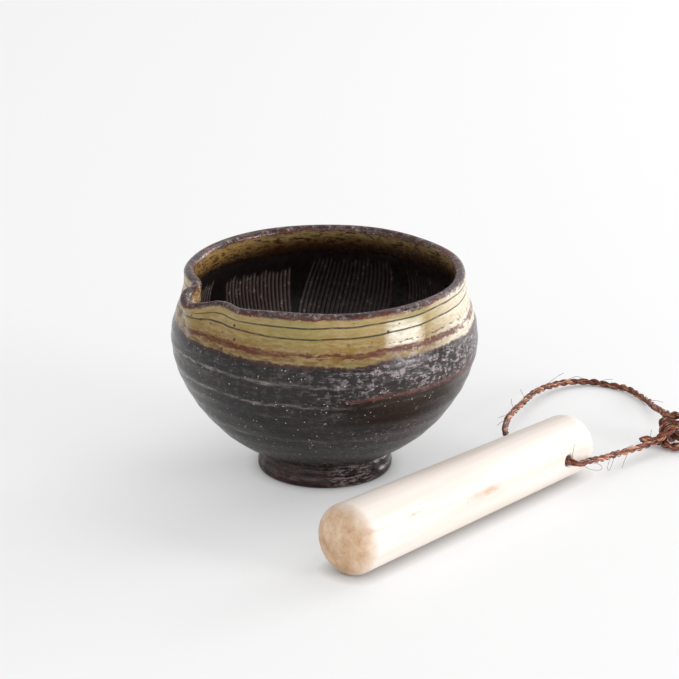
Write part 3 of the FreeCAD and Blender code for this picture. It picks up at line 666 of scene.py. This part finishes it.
    # Ash glaze band: amber low down, olive and pale above, with brown pits
    ash = ramp(
        tree, between(wavy, 64.0, 84.0),
        (0.0, "5a3a10"), (0.22, "6f4f1a"), (0.42, "83662a"),
        (0.6, "8f753c"), (0.85, "99834f"), (1.0, "8b6f42"),
    )
    ash = blend(between(streaks, 0.4, 0.62, 0.0, 0.5), ash, srgb("b5a379"))
    # Pale glaze with painted highlights: the window lamp's reflection on the band at the right, and the
    # white surroundings' reflection along the bowl's right edge
    window = near_level(right, 0.0315, 0.0045, 0.004, 0.85)
    pale_glaze_and_highlight = math_of("MULTIPLY", window, near_level(wavy, 75.5, 4.0, 2.5))
    pale_glaze_and_highlight = math_of("MAXIMUM", pale_glaze_and_highlight, between(right, 0.040, 0.052, 0.0, 0.7))
    ash = blend(math_of("MULTIPLY", pale_glaze_and_highlight, between(streaks, 0.3, 0.55, 0.45, 1.0)), ash, srgb("e4decb"))
    ash = blend(between(drift, 0.54, 0.68, 0.0, 0.4), ash, srgb("757a3a"))
    ash = blend(between(mottle, 0.54, 0.7, 0.0, 0.5), ash, srgb("7a5a22"))
    pits = add(tree, "ShaderNodeTexVoronoi", {"Vector": spot, "Scale": 210.0})
    pit = math_of("MULTIPLY", between(pits, 0.17, 0.08), between(runs, 0.46, 0.52))
    ash = blend(pit, ash, srgb("38200c"))

    # Rust-red broken stripe in the band, and a second thin one above it at the right
    stripe = math_of("MULTIPLY", near_level(ragged, RUST_STRIPE, 0.8, 0.7), between(runs, 0.4, 0.46))
    stripe = math_of("MULTIPLY", stripe, between(streaks, 0.36, 0.5, 0.3, 1.0))
    second = math_of("MULTIPLY", near_level(ragged, SECOND_STRIPE, 0.1, 0.6), between(streaks, 0.5, 0.56))
    second = math_of("MULTIPLY", second, between(right, 0.0, 0.03, 0.4, 1.0))
    ash = blend(math_of("MAXIMUM", stripe, second), ash, srgb("562109"))

    # The cut lines, where dark glaze pooled
    lines_level = math_of("ADD", level, between(drift, 0.3, 0.7, -0.7, 0.7))
    lines_level = math_of("ADD", lines_level, between(right, 0.0, 0.05, 0.0, -1.5))
    cut = 0.0
    for line in CUT_LINES:
        cut = math_of("MAXIMUM", near_level(lines_level, line, 0.14, 0.36), cut)
    cut = math_of("MULTIPLY", cut, between(streaks, 0.3, 0.5, 0.35, 1.0))
    ash = blend(cut, ash, srgb("231c08"))

    outer = blend(between(ragged, BAND_BOTTOM, BAND_BOTTOM + 0.8), iron, ash)
    outer = blend(near_level(ragged, BAND_BOTTOM, 0.3, 0.8, 0.85), outer, srgb("301410"))

    # The foot's bare clay, red-brown with dark wet-looking runs, and painted highlights on its right
    clay = ramp(
        tree, streaks,
        (0.35, "120908"), (0.48, "2a1614"), (0.6, "4a2f2b"), (0.75, "6a504b"),
    )
    # Painted highlights: light spots on the foot's right, where its glossy clay catches the lamps
    foot_highlight = near_level(right, 0.011, 0.005, 0.006)
    foot_highlight = math_of("MULTIPLY", foot_highlight, between(streaks, 0.48, 0.55, 0.0, 0.8))
    clay = blend(foot_highlight, clay, srgb("a89896"))
    outer = blend(between(level, FOOT_CLAY + 1.0, FOOT_CLAY), outer, clay)

    # Inside: amber glaze under the lip, then bare purple-brown clay, with the ridges lighter and glinting as
    # painted highlights
    inner_glaze = ramp(
        tree, between(ragged, 74.0, 84.0),
        (0.0, "120b06"), (0.3, "2e1d0c"), (0.55, "5a4426"), (0.8, "837049"), (1.0, "4a2814"),
    )
    left_glow = math_of("MULTIPLY", between(right, -0.02, -0.045), between(ragged, 74.0, 79.0))
    left_glow = math_of("MULTIPLY", left_glow, between(streaks, 0.42, 0.56))
    inner_glaze = blend(left_glow, inner_glaze, srgb("c69a5c"))
    inner_glaze = blend(between(streaks, 0.51, 0.57, 0.0, 0.9), inner_glaze, srgb("2c1208"))
    bare = ramp(
        tree, mottle,
        (0.35, "0b0706"), (0.55, "170f0d"), (0.72, "261917"),
    )
    # Painted highlights: the comb ridges lighter, with white painted glints, on the inner left wall that
    # faces the lamps at the right
    on_ridge = math_of("MULTIPLY", ridge, combed)
    lit_inner_left = math_of("MULTIPLY", between(right, -0.004, -0.018, 0.2, 1.0), between(back, 0.0, 0.02))
    ridge_highlight_shape = math_of("POWER", on_ridge, 1.6)
    bare = blend(math_of("MULTIPLY", ridge_highlight_shape, lit_inner_left), bare, srgb("8a7570"))
    glint = math_of("MULTIPLY", between(mottle, 0.58, 0.66), math_of("MULTIPLY", on_ridge, lit_inner_left))
    bare = blend(glint, bare, srgb("e3dad2"))
    glazed_in = between(ragged, INNER_GLAZE, INNER_GLAZE + 2.5)
    inner = blend(glazed_in, bare, inner_glaze)
    inner_side = between(inside, 0.7, 0.95)
    colour = blend(inner_side, outer, inner)

    # The lip, wiped thin: purple-brown with rust-red stretches
    lip_tint = ramp(
        tree, mottle,
        (0.36, "120a09"), (0.47, "33211f"), (0.56, "5a4643"), (0.66, "9b8b88"),
    )
    rust = math_of("MULTIPLY", between(runs, 0.46, 0.54), between(ragged, 84.8, 83.8))
    lip_tint = blend(rust, lip_tint, srgb("561f10"))
    colour = blend(between(ragged, LIP_CLAY, LIP_CLAY + 0.6), colour, lip_tint)

    # Gloss: glass over the glazes, duller where it is mottled, dull on the clay
    rough = between(mottle, 0.3, 0.7, 0.1, 0.34)
    dull = math_of("MULTIPLY", math_of("SUBTRACT", 1.0, glazed_in), inner_side)
    rough = math_of("MULTIPLY_ADD", dull, 0.22, rough)

    # Relief: grit, orange-peel of the glaze, pits, and grooves of the cut lines on the outside
    cut_outside = math_of("MULTIPLY", cut, math_of("SUBTRACT", 1.0, inner_side))
    relief = math_of("MULTIPLY", grit, 0.25)
    for pattern, depth in (
        (mottle, 1.0), (speck, 0.4), (pit, -0.6), (blotch, 0.8), (runs, 2.0), (cut_outside, -1.5),
    ):
        relief = math_of("MULTIPLY_ADD", pattern, depth, relief)
    bump = add(tree, "ShaderNodeBump", {"Height": relief, "Strength": 0.6, "Distance": 0.2 * MM})
    finish_material(tree, shader, colour, rough, bump, 1.45)
    return material


def pale_wood():
    """Turned and sanded hardwood, near white, with fine long grain and a darker end grain.

    Bare wood with no finish: IOR 1.5, satin, with faint pores along the grain.
    """
    material, tree, shader = new_material("sanded_pale_hardwood")
    spot = add(tree, "ShaderNodeTexCoord").node.outputs["Object"]
    turn = (0.0, 0.0, -math.radians(PESTLE_BEARING))
    spot = add(tree, "ShaderNodeVectorMath", {0: spot, 1: HOLE}, operation="SUBTRACT")
    spot = add(tree, "ShaderNodeVectorRotate", {"Vector": spot, "Rotation": turn}, rotation_type="EULER_XYZ")
    ahead = add(tree, "ShaderNodeSeparateXYZ", {"Vector": spot})
    hole = PESTLE_LENGTH - CORD_HOLE_INSET
    from_head = add(tree, "ShaderNodeMath", {0: ahead, 1: 1 / MM, 2: hole}, operation="MULTIPLY_ADD")

    # Growth rings cross the pestle as long streaks, 1 to 3 mm apart
    long_grain = add(tree, "ShaderNodeMapping", {"Vector": spot, "Scale": (0.06, 1.0, 1.0)})
    growth = {"Vector": long_grain, "Scale": 160.0, "Detail": 5.0, "Roughness": 0.6}
    rings = add(tree, "ShaderNodeTexNoise", growth)
    fibre = add(tree, "ShaderNodeTexNoise", {"Vector": long_grain, "Scale": 1400.0, "Detail": 3.0})
    side = ramp(
        tree, rings,
        (0.3, "d2c6bc"), (0.5, "dbd1c9"), (0.7, "e3dad4"),
    )
    end = add(tree, "ShaderNodeTexNoise", {"Vector": spot, "Scale": 170.0, "Detail": 7.0, "Roughness": 0.7})
    end_tint = ramp(
        tree, end,
        (0.3, "b08664"), (0.45, "cca784"), (0.6, "dabd9f"), (0.75, "e6d0b8"),
    )
    end_reach = {"Value": from_head, "From Min": END_GRAIN_TO, "From Max": END_GRAIN_FROM}
    is_end = add(tree, "ShaderNodeMapRange", end_reach)
    colour = add(tree, "ShaderNodeMix", {"Factor": is_end, "A": side, "B": end_tint}, data_type="RGBA")
    for place, size in FLECKS:
        away = add(tree, "ShaderNodeVectorMath", {0: spot, 1: place}, operation="SUBTRACT")
        stretch = (FLECK_STRETCH, 1.0, 1.0)
        away = add(tree, "ShaderNodeVectorMath", {0: away, 1: stretch}, operation="MULTIPLY")
        away = add(tree, "ShaderNodeVectorMath", {0: away}, operation="LENGTH").node.outputs["Value"]
        away = add(tree, "ShaderNodeMath", {0: end, 1: FLECK_RAGGED, 2: away}, operation="MULTIPLY_ADD")
        stain = {"Value": away, "From Min": size, "From Max": size * 0.6, "To Max": 0.8}
        stain = add(tree, "ShaderNodeMapRange", stain)
        links = {"Factor": stain, "A": colour, "B": srgb("bc977a")}
        colour = add(tree, "ShaderNodeMix", links, data_type="RGBA")
    rough = add(tree, "ShaderNodeMapRange", {"Value": fibre, "To Min": 0.42, "To Max": 0.6})
    bump = add(tree, "ShaderNodeBump", {"Height": fibre, "Strength": 0.35, "Distance": 0.08 * MM})
    finish_material(tree, shader, colour, rough, bump, 1.5)
    return material


def palm_fibre():
    """Twisted palm fibre: coarse red-brown hairs, each its own shade, dull with a slight shine."""
    material, tree, shader = new_material("twisted_palm_fibre")
    tint = add(tree, "ShaderNodeAttribute", attribute_name="fibre_tint").node.outputs["Fac"]
    spot = add(tree, "ShaderNodeTexCoord").node.outputs["Object"]
    patch = add(tree, "ShaderNodeTexNoise", {"Vector": spot, "Scale": 260.0, "Detail": 4.0})
    mixed = add(tree, "ShaderNodeMath", {0: tint, 1: 0.6, 2: patch}, operation="MULTIPLY_ADD")
    colour = ramp(
        tree, mixed,
        (0.35, "1c0a06"), (0.6, "572818"), (0.85, "854632"), (1.0, "c08f70"),
    )
    tree.links.new(colour, shader.inputs["Base Color"])
    shader.inputs["Roughness"].default_value = 0.5
    shader.inputs["IOR"].default_value = 1.5
    return material


def cord_tree(material):
    """Geometry nodes that twist two strands of fibres along a line."""
    tree = bpy.data.node_groups.new("twisted_cord", "GeometryNodeTree")
    tree.interface.new_socket("Line", in_out="INPUT", socket_type="NodeSocketGeometry")
    for name, kind, value in (
        ("Strands", "NodeSocketInt", 2),
        ("Fibres", "NodeSocketInt", 10),
        ("Strand offset", "NodeSocketFloat", 0.56 * MM),
        ("Fibre offset", "NodeSocketFloat", 0.6 * MM),
        ("Fibre radius", "NodeSocketFloat", 0.25 * MM),
        ("Core radius", "NodeSocketFloat", 0.55 * MM),
        ("Lay", "NodeSocketFloat", 9.5 * MM),
        ("Fibre lay", "NodeSocketFloat", 21.0 * MM),
        ("Wander", "NodeSocketFloat", 1.6 * MM),
        ("Unevenness", "NodeSocketFloat", 1.0 * MM),
        ("Step", "NodeSocketFloat", 0.55 * MM),
    ):
        tree.interface.new_socket(name, in_out="INPUT", socket_type=kind).default_value = value
    tree.interface.new_socket("Cord", in_out="OUTPUT", socket_type="NodeSocketGeometry")
    given = add(tree, "NodeGroupInput").node.outputs
    full_turn = 2 * math.pi

    line = add(tree, "GeometryNodeMeshToCurve", {"Mesh": given["Line"]})
    line = add(tree, "GeometryNodeResampleCurve", {"Curve": line, "Length": given["Step"]}, mode="LENGTH")
    spot = add(tree, "GeometryNodeInputPosition")

    def shifted(geometry, noise, reach):
        """The geometry moved about its place by a noise of a given reach."""
        away = {0: noise.outputs["Color"], 1: (0.5, 0.5, 0.5)}
        away = add(tree, "ShaderNodeVectorMath", away, operation="SUBTRACT")
        away = add(tree, "ShaderNodeVectorMath", {0: away, "Scale": reach}, operation="SCALE")
        return add(tree, "GeometryNodeSetPosition", {"Geometry": geometry, "Offset": away})

    wander = add(tree, "ShaderNodeTexNoise", {"Vector": spot, "Scale": 70.0, "Detail": 1.0}).node
    line = shifted(line, wander, given["Wander"])
    line = add(tree, "GeometryNodeSetCurveNormal", {"Curve": line}, mode="MINIMUM_TWIST")
    normal = add(tree, "GeometryNodeInputNormal")
    tangent = add(tree, "GeometryNodeInputTangent")
    reached = add(tree, "GeometryNodeSplineParameter").node.outputs["Length"]

    def wound(geometry, count, offset, lay, sense):
        """Copies of each spline, wound round it at offset. Returns them and each copy's number."""
        copies = {"Geometry": geometry, "Amount": count}
        copies = add(tree, "GeometryNodeDuplicateElements", copies, domain="SPLINE")
        number = copies.node.outputs["Duplicate Index"]
        share = add(tree, "ShaderNodeMath", {0: number, 1: count}, operation="DIVIDE")
        turns = add(tree, "ShaderNodeMath", {0: reached, 1: lay}, operation="DIVIDE")
        turns = add(tree, "ShaderNodeMath", {0: turns, 1: sense, 2: share}, operation="MULTIPLY_ADD")
        angle = add(tree, "ShaderNodeMath", {0: turns, 1: full_turn}, operation="MULTIPLY")
        out = add(tree, "ShaderNodeVectorMath", {0: normal, "Scale": offset}, operation="SCALE")
        out = add(tree, "ShaderNodeVectorRotate", {"Vector": out, "Axis": tangent, "Angle": angle})
        return add(tree, "GeometryNodeSetPosition", {"Geometry": copies, "Offset": out}), number

    strands, strand = wound(line, given["Strands"], given["Strand offset"], given["Lay"], 1.0)
    fibres, fibre = wound(strands, given["Fibres"], given["Fibre offset"], given["Fibre lay"], -1.0)
    own = add(tree, "ShaderNodeMath", {0: strand, 1: 37.0, 2: fibre}, operation="MULTIPLY_ADD")
    uneven = {"Vector": spot, "W": own, "Scale": 260.0, "Detail": 1.5}
    uneven = add(tree, "ShaderNodeTexNoise", uneven, noise_dimensions="4D").node
    fibres = shifted(fibres, uneven, given["Unevenness"])
    tint = add(tree, "FunctionNodeRandomValue", {"ID": own, "Seed": 4}, data_type="FLOAT")
    stored = {"Geometry": fibres, "Name": "fibre_tint", "Value": tint}
    fibres = add(tree, "GeometryNodeStoreNamedAttribute", stored, data_type="FLOAT", domain="POINT")
    size = {"Value": uneven.outputs["Fac"], "From Min": 0.3, "From Max": 0.7, "To Min": 0.7, "To Max": 1.35}
    thickness = add(tree, "ShaderNodeMapRange", size)

    def tubes(lines, sides, radius, **settings):
        """Closed tubes along lines."""
        ring = add(tree, "GeometryNodeCurvePrimitiveCircle", {"Resolution": sides, "Radius": radius})
        links = {"Curve": lines, "Profile Curve": ring, "Fill Caps": True, **settings}
        return add(tree, "GeometryNodeCurveToMesh", links)

    fibres = tubes(fibres, 5, given["Fibre radius"], Scale=thickness)
    cores = tubes(strands, 6, given["Core radius"])
    both = add(tree, "GeometryNodeJoinGeometry", {"Geometry": fibres})
    tree.links.new(cores, both.node.inputs["Geometry"])
    smooth = add(tree, "GeometryNodeSetShadeSmooth", {"Geometry": both})
    real = add(tree, "GeometryNodeRealizeInstances", {"Geometry": smooth})
    done = add(tree, "GeometryNodeSetMaterial", {"Geometry": real, "Material": material})
    add(tree, "NodeGroupOutput", {0: done})
    return tree


def new_curve(name):
    """Empty curve data in three dimensions."""
    data = bpy.data.curves.new(name, "CURVE")
    data.dimensions = "3D"
    return data


def add_line(data, points):
    """Add a smooth line to curve data, which starts at the first of the points and ends at the last."""
    spline = data.splines.new("NURBS")
    spline.points.add(len(points) - 1)
    for control, point in zip(spline.points, points):
        control.co = (*point, 1.0)
    spline.order_u = LINE_ORDER
    spline.use_endpoint_u = True


def curve_to_mesh(data):
    """The curve's mesh. The curve is removed."""
    mesh = bpy.data.meshes.new_from_object(bpy.data.objects.new(data.name, data))
    bpy.data.curves.remove(data)
    return mesh


def smooth_line(points):
    """The points of a smooth line, close together, whose control points are given in metres."""
    data = new_curve("line")
    data.resolution_u = LINE_STEPS
    add_line(data, points)
    mesh = curve_to_mesh(data)
    line = [vertex.co.copy() for vertex in mesh.vertices]
    bpy.data.meshes.remove(mesh)
    return line


def twist_cord(name, lines, tree, **sizes):
    """A cord of twisted strands along each line, as one plain mesh."""
    points, edges = [], []
    for line in lines:
        edges += [(len(points) + i, len(points) + i + 1) for i in range(len(line) - 1)]
        points += line
    mesh = bpy.data.meshes.new("cord_line")
    mesh.from_pydata(points, edges, [])
    guide = put("cord_line", mesh)
    modifier = guide.modifiers.new("twist", "NODES")
    modifier.node_group = tree
    for item in tree.interface.items_tree:
        if item.item_type == "SOCKET" and item.name in sizes:
            modifier[item.identifier] = sizes[item.name]
    shown = guide.evaluated_get(bpy.context.evaluated_depsgraph_get())
    made = bpy.data.meshes.new_from_object(shown)
    bpy.data.objects.remove(guide)
    made.name = name
    return put(name, made)


def stray_fibres(name, line, strays, material):
    """Thin hairs that stand out of a cord, as one piece. A hair that reaches the table lies on it."""
    data = new_curve(name)
    data.bevel_depth = STRAY_RADIUS * MM
    data.bevel_resolution = 1
    data.use_fill_caps = True
    for share, offsets in strays:
        root = line[round(share * (len(line) - 1))]
        points = []
        for right, up in offsets:
            place = root + (Vector((right, 0, 0)) + CAMERA_UP * up) * MM
            sunk = max(0.0, 2 * STRAY_RADIUS * MM - place.z)
            points.append(place + TO_CAMERA * (sunk / TO_CAMERA.z))
        add_line(data, points)
    mesh = curve_to_mesh(data)
    mesh.name = name
    mesh.materials.append(material)
    return put(name, mesh)


def even_line(line, count=200):
    """The line again with points at even distances."""
    reached = np.cumsum([0.0] + [(b - a).length for a, b in zip(line, line[1:])])
    wanted = np.linspace(0, reached[-1], count)
    return [Vector(p) for p in zip(*(np.interp(wanted, reached, [q[i] for q in line]) for i in range(3)))]


def make_floor():
    """A plain pale floor. To the camera a share of its white is even, so that shadows stay soft."""
    material, tree, shader = new_material("pale_paper_floor")
    seen = add(tree, "ShaderNodeLightPath").node.outputs["Is Camera Ray"]
    lit, even = FLOOR_WHITE * (1 - EVEN_SHARE), FLOOR_WHITE * EVEN_SHARE
    links = {"Factor": seen, "A": [FLOOR_WHITE] * 3 + [1.0], "B": [lit] * 3 + [1.0]}
    colour = add(tree, "ShaderNodeMix", links, data_type="RGBA")
    # Painted contact shadow: the even glow is dimmed close to where things touch the floor
    open_air = add(tree, "ShaderNodeAmbientOcclusion", {"Distance": CONTACT_REACH}).node.outputs["AO"]
    glow = add(tree, "ShaderNodeMath", {0: seen, 1: even}, operation="MULTIPLY")
    glow = add(tree, "ShaderNodeMath", {0: glow, 1: open_air}, operation="MULTIPLY")
    tree.links.new(colour, shader.inputs["Base Color"])
    tree.links.new(glow, shader.inputs["Emission Strength"])
    shader.inputs["Emission Color"].default_value = srgb("ffffff")
    shader.inputs["Roughness"].default_value = 0.8
    shader.inputs["Specular IOR Level"].default_value = 0.2
    mesh = bpy.data.meshes.new("floor")
    corners = [(-1, -1), (1, -1), (1, 1), (-1, 1)]
    mesh.from_pydata([(x * FLOOR_HALF, y * FLOOR_HALF, 0) for x, y in corners], [], [(0, 1, 2, 3)])
    mesh.materials.append(material)
    floor = put("floor", mesh)


def make_lamp(name, place, aim, width, power):
    """A square soft white lamp at place that faces aim."""
    data = bpy.data.lights.new(name, "AREA")
    data.size = width
    data.energy = power
    lamp = put(name, data)
    lamp.location = place
    lamp.rotation_euler = (Vector(aim) - Vector(place)).to_track_quat("-Z", "Y").to_euler()


def make_camera():
    """The camera that the photograph was fitted with."""
    data = bpy.data.cameras.new("camera")
    data.sensor_width = SENSOR_MM
    data.lens = FOCAL_PIXELS * SENSOR_MM / PHOTO_PIXELS
    data.clip_end = CAMERA_REACH
    camera = put("camera", data)
    aim = BOWL_AXIS + Vector((LOOK_RIGHT_OF_BOWL, 0, LOOK_HEIGHT))
    camera.location = aim + TO_CAMERA * CAMERA_DISTANCE
    camera.rotation_euler = (math.pi / 2 - CAMERA_ELEVATION, 0, 0)
    bpy.context.scene.camera = camera


def light_the_scene():
    """Soft daylight from the right and above, with a bright even surrounding."""
    world = bpy.data.worlds.new("daylight")
    world.use_nodes = True
    background = world.node_tree.nodes["Background"]
    background.inputs["Color"].default_value = srgb("ffffff")
    background.inputs["Strength"].default_value = DAYLIGHT
    bpy.context.scene.world = world
    for name, settings in LAMPS.items():
        make_lamp(name, *settings)


make_camera()
light_the_scene()
make_floor()

bowl = make_bowl(glazed_stoneware())
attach(bowl, "mortar")
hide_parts("mortar_bowl")

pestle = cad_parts["pestle"]
pestle.data.materials.clear()
pestle.data.materials.append(pale_wood())

cord_material = palm_fibre()
cord = cord_tree(cord_material)
near_mouth = (0.0, -MOUTH_ASIDE, CORD_HEIGHT)
far_mouth = (0.0, MOUTH_ASIDE, CORD_HEIGHT)
near_points = [near_mouth, (0.0, -MOUTH_ASIDE - NEAR_STRAIGHT, CORD_HEIGHT), *NEAR_ROUTE]
far_points = [near_mouth, far_mouth, (0.0, MOUTH_ASIDE + FAR_STRAIGHT, CORD_HEIGHT), *FAR_ROUTE]
near_line = smooth_line([from_hole(p) for p in near_points])
far_line = smooth_line([from_hole(p) for p in far_points])
near_cord = twist_cord("near_cord", [near_line], cord)
far_cord = twist_cord("far_cord", [far_line], cord)
knot_at = from_hole(KNOT_MIDDLE)
knot_points = [[knot_at + Vector(p) * MM for p in points] for points in (KNOT_FROM_NEAR, KNOT_FROM_FAR)]
knot_lines = [smooth_line(points) for points in knot_points]
knot = twist_cord("cord_tied_knot", knot_lines, cord, **KNOT_FIBRES)
near_strays = stray_fibres("near_stray_fibres", even_line(near_line), NEAR_STRAYS, cord_material)
far_strays = stray_fibres("far_stray_fibres", even_line(far_line), FAR_STRAYS, cord_material)

for piece, nodes in (
    (near_cord, ["cord_near_run"]),
    (far_cord, ["cord_in_hole", "cord_far_run"]),
    (knot, ["cord_knot"]),
    (near_strays, []),
    (far_strays, []),
):
    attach(piece, "cord")
    if nodes:
        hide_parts(*nodes)

bpy.context.scene.view_settings.view_transform = "Standard"
